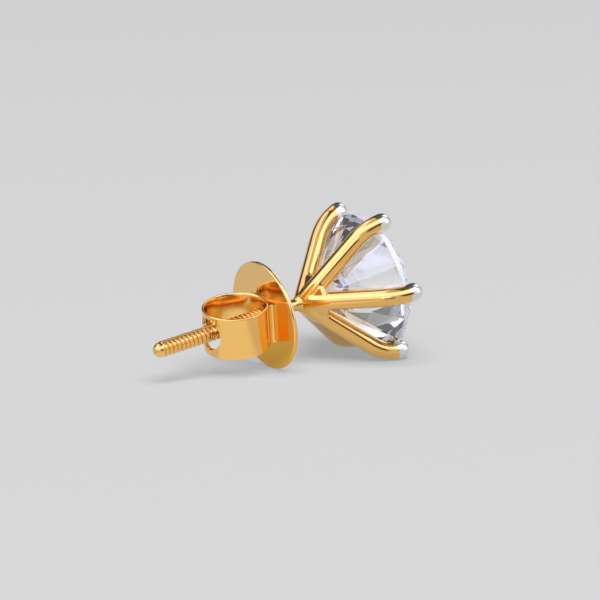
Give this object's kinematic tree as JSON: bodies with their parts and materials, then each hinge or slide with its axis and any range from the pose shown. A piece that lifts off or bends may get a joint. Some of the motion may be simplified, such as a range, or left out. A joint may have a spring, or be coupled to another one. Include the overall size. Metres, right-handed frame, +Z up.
{
  "type": "stud earring",
  "caption": "Solitaire stud earring: a round brilliant held by a pronged crown on a threaded post, with a screw back made of a disc and a loop, lying on its side.",
  "frame": {"origin": "on the floor, below the middle of the lying earring", "axes": "+X from the post's tip towards the stone, +Z up from the floor; the post's axis rises about 10 degrees towards +X"},
  "size_m": [0.0144, 0.0088, 0.0077],
  "materials": {
    "gold": "polished yellow gold, the prong tips plated white",
    "gold_back": "polished yellow gold",
    "stone": "clear, faceted and polished"
  },
  "bodies": {
    "stud": {"setting": "gold", "stone": "stone"},
    "back": {"screw_back": "gold_back"}
  },
  "joints": [
    {"name": "back_travel", "type": "slide", "parent": "stud", "child": "back", "axis": [-0.9862, 0, -0.1658], "range_m": [0, 0.006]}
  ]
}
